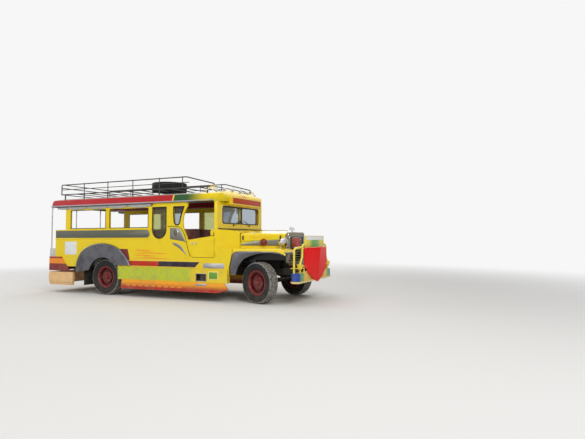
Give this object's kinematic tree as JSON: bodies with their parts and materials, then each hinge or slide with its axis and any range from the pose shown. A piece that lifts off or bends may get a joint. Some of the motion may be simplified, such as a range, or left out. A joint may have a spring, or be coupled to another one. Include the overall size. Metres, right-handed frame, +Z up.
{
  "type": "passenger jeepney",
  "caption": "Long open-sided passenger utility bus with side-facing benches, front-hinged doors, lifting bonnet, steered front wheels, roof rack with a spare tyre and a folded front shield.",
  "frame": {"origin": "on the ground under the middle of the vehicle's overall length, on the centreline", "axes": "+X forward, +Y to the vehicle's left, +Z up"},
  "size_m": [6.45, 1.9568, 2.502],
  "materials": {
    "yellow_paint": "gloss",
    "red_paint": "gloss",
    "green_paint": "gloss",
    "lime_paint": "gloss",
    "blue_paint": "gloss",
    "silver_sheet": "satin",
    "chrome": "polished",
    "chassis_black": "satin",
    "cast_iron": "rough",
    "tyre": "matt",
    "rim_paint": "satin",
    "clear_glass": "clear",
    "red_lens": "gloss",
    "curtain": "matt",
    "cushion": "satin",
    "black_rubber": "matt",
    "black_plastic": "matt",
    "board_paint": "satin"
  },
  "bodies": {
    "body": {"chassis_frame": "chassis_black", "cowl": "yellow_paint", "cross_members": "chassis_black", "destination_board": "board_paint", "drive_shaft": "cast_iron", "engine_block": "cast_iron", "exhaust_pipe": "cast_iron", "floor": "silver_sheet", "front_axle_beam": "cast_iron", "front_bumper": "green_paint", "front_fenders": "yellow_paint", "front_guard": "yellow_paint", "fuel_tank": "chassis_black", "gearbox": "cast_iron", "grab_rails": "chrome", "grille_shell": "red_paint", "headlamps": "chrome", "leaf_springs": "cast_iron", "mud_flaps": "black_rubber", "prow_shield": "red_paint", "rack_posts": "silver_sheet", "rack_slats": "silver_sheet", "radiator": "chassis_black", "rain_curtains": "curtain", "rear_axle_housing": "cast_iron", "rear_bumper": "yellow_paint", "rear_fenders": "yellow_paint", "rear_panels": "yellow_paint", "rear_valance": "red_paint", "roof": "red_paint", "roof_rack": "silver_sheet", "seat_cushions": "cushion", "seat_frames": "silver_sheet", "side_lamps": "red_lens", "side_panel_left": "yellow_paint", "side_panel_right": "yellow_paint", "side_skirts": "red_paint", "side_steps": "lime_paint", "spare_tyre": "tyre", "spring_hangers": "chassis_black", "steering_column": "black_plastic", "tail_lamps": "red_lens", "windscreen_frame": "yellow_paint", "windscreen_glass": "clear_glass"},
    "bonnet": {"bonnet": "yellow_paint", "bonnet_ornament": "chrome"},
    "right_door": {"door_right": "yellow_paint"},
    "left_door": {"door_left": "yellow_paint"},
    "right_knuckle": {"knuckle_right": "cast_iron"},
    "left_knuckle": {"knuckle_left": "cast_iron"},
    "tie_rod": {"tie_rod": "cast_iron"},
    "steering_wheel": {"steering_wheel": "black_plastic"},
    "front_right_wheel": {"rim_front_right": "rim_paint", "tyre_front_right": "tyre"},
    "front_left_wheel": {"rim_front_left": "rim_paint", "tyre_front_left": "tyre"},
    "rear_right_wheel": {"rim_rear_right": "rim_paint", "tyre_rear_right": "tyre"},
    "rear_left_wheel": {"rim_rear_left": "rim_paint", "tyre_rear_left": "tyre"}
  },
  "joints": [
    {"name": "steer_right", "type": "hinge", "parent": "body", "child": "right_knuckle", "pos_m": [2.325, -0.65, 0.39], "axis": [0, 0, 1], "range_deg": [-14, 50]},
    {"name": "steer_left", "type": "hinge", "parent": "body", "child": "left_knuckle", "pos_m": [2.325, 0.65, 0.39], "axis": [0, 0, 1], "range_deg": [-14, 50]},
    {"name": "tie_rod_pivot", "type": "hinge", "parent": "right_knuckle", "child": "tie_rod", "pos_m": [2.16808, -0.59901, 0.317], "axis": [0, 0, 1], "range_deg": [-50, 14]},
    {"name": "steering_wheel_turn", "type": "hinge", "parent": "body", "child": "steering_wheel", "pos_m": [0.995, 0.43, 1.265], "axis": [-0.8826, 0, 0.47], "range_deg": [-224, 800]},
    {"name": "front_right_spin", "type": "hinge", "parent": "right_knuckle", "child": "front_right_wheel", "pos_m": [2.28699, -0.76698, 0.39], "axis": [0.309, 0.9511, 0], "continuous": true},
    {"name": "front_left_spin", "type": "hinge", "parent": "left_knuckle", "child": "front_left_wheel", "pos_m": [2.36301, 0.76698, 0.39], "axis": [0.309, 0.9511, 0], "continuous": true},
    {"name": "rear_right_spin", "type": "hinge", "parent": "body", "child": "rear_right_wheel", "pos_m": [-1.465, -0.773, 0.39], "axis": [0, 1, 0], "continuous": true},
    {"name": "rear_left_spin", "type": "hinge", "parent": "body", "child": "rear_left_wheel", "pos_m": [-1.465, 0.773, 0.39], "axis": [0, 1, 0], "continuous": true},
    {"name": "right_door_hinge", "type": "hinge", "parent": "body", "child": "right_door", "pos_m": [1.367, -0.935, 1.0575], "axis": [0, 0, 1], "range_deg": [0, 70]},
    {"name": "left_door_hinge", "type": "hinge", "parent": "body", "child": "left_door", "pos_m": [1.367, 0.935, 1.0575], "axis": [0, 0, -1], "range_deg": [0, 70]},
    {"name": "bonnet_hinge", "type": "hinge", "parent": "body", "child": "bonnet", "pos_m": [1.774, 0, 1.374], "axis": [0, -1, 0], "range_deg": [0, 50]}
  ],
  "couplings": [
    {"joint": "steer_left", "follows": "steer_right", "ratio": 1},
    {"joint": "tie_rod_pivot", "follows": "steer_right", "ratio": -1},
    {"joint": "steering_wheel_turn", "follows": "steer_right", "ratio": 16}
  ]
}
